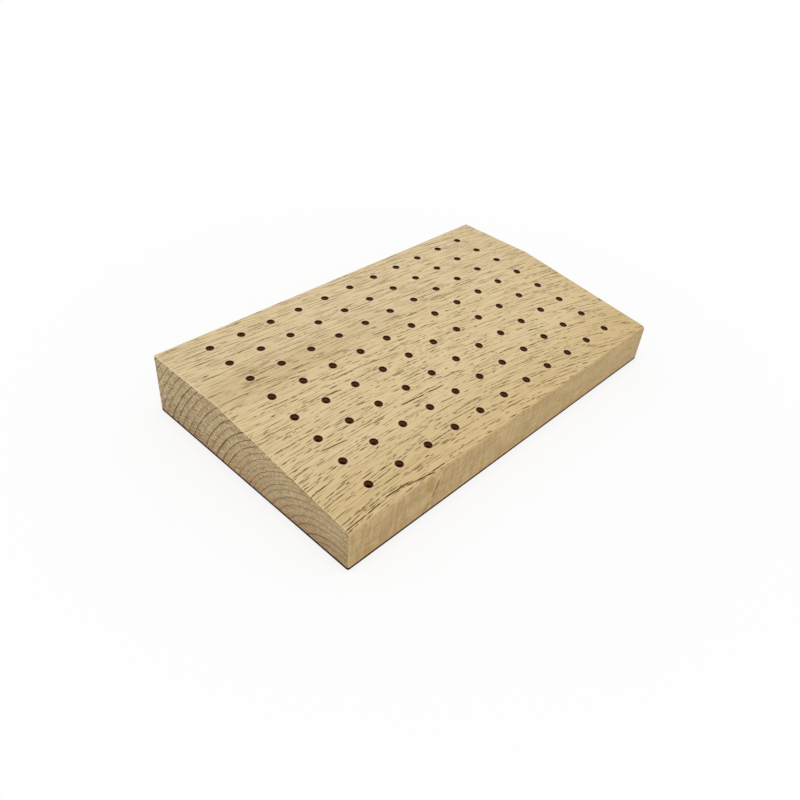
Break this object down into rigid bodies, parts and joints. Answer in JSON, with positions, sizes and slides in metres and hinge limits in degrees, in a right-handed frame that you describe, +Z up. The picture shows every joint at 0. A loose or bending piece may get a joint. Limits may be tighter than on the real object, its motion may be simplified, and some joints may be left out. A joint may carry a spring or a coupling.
{
  "type": "bur block",
  "caption": "Wooden block with a top that is level at the rear and slopes down to the front, drilled with rows of blind holes that stand dental and rotary burs upright.",
  "frame": {"origin": "middle of the underside", "axes": "+X along the rows of holes towards the right end, +Y towards the tall rear face, +Z up"},
  "size_m": [0.1504, 0.089, 0.022],
  "materials": {
    "beech": "planed and fine-sanded bare beech, drilled hole walls darkened"
  },
  "bodies": {
    "root": {"block": "beech"}
  },
  "joints": []
}
